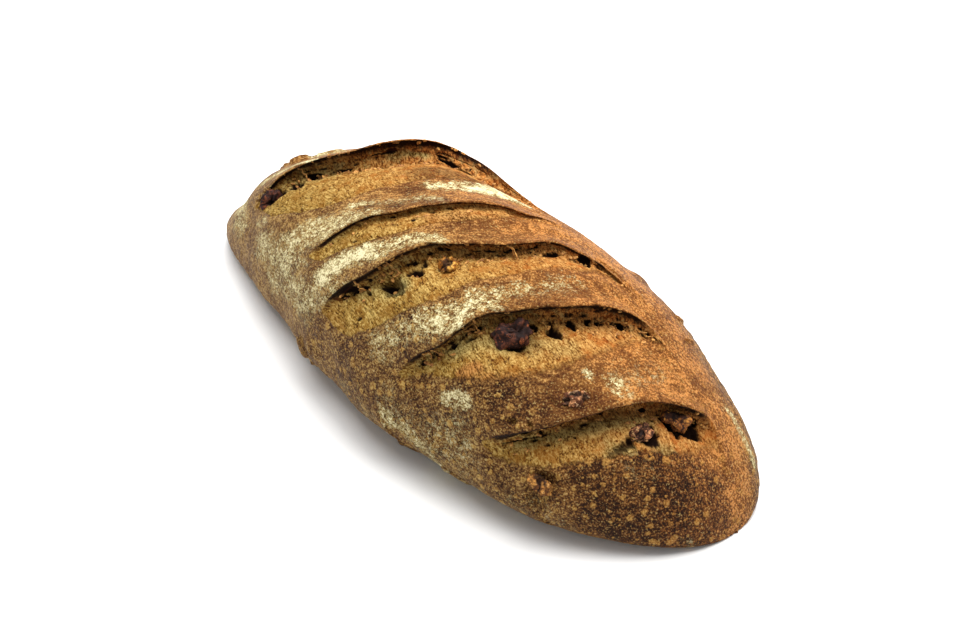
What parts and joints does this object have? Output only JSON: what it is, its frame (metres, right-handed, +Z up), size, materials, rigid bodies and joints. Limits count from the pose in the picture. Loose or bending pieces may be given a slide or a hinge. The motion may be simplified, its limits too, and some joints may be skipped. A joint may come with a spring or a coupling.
{
  "type": "multigrain loaf",
  "caption": "Long oval hearth loaf with slanting cuts, raised crust lips, torn golden crumb and pieces of walnut, resting on a flat base.",
  "frame": {"origin": "middle of the base, under the middle of the loaf's outer box", "axes": "+X along the loaf to its blunt near end, +Y across it to the left of someone who looks along +X, +Z up"},
  "size_m": [0.2896, 0.1242, 0.0853],
  "materials": {
    "crust": "baked crust, brown and flour-dusted, with golden torn crumb; matte with a faint sheen",
    "walnut": "roasted walnut, dark red-brown skin, matte"
  },
  "bodies": {
    "root": {"loaf": "crust", "walnut_far_cut": "walnut", "walnut_third_cut": "walnut", "walnut_fourth_cut": "walnut", "walnut_on_crust": "walnut", "walnut_fifth_cut": "walnut", "walnut_under_lip": "walnut", "walnut_near_flank": "walnut"}
  },
  "joints": []
}
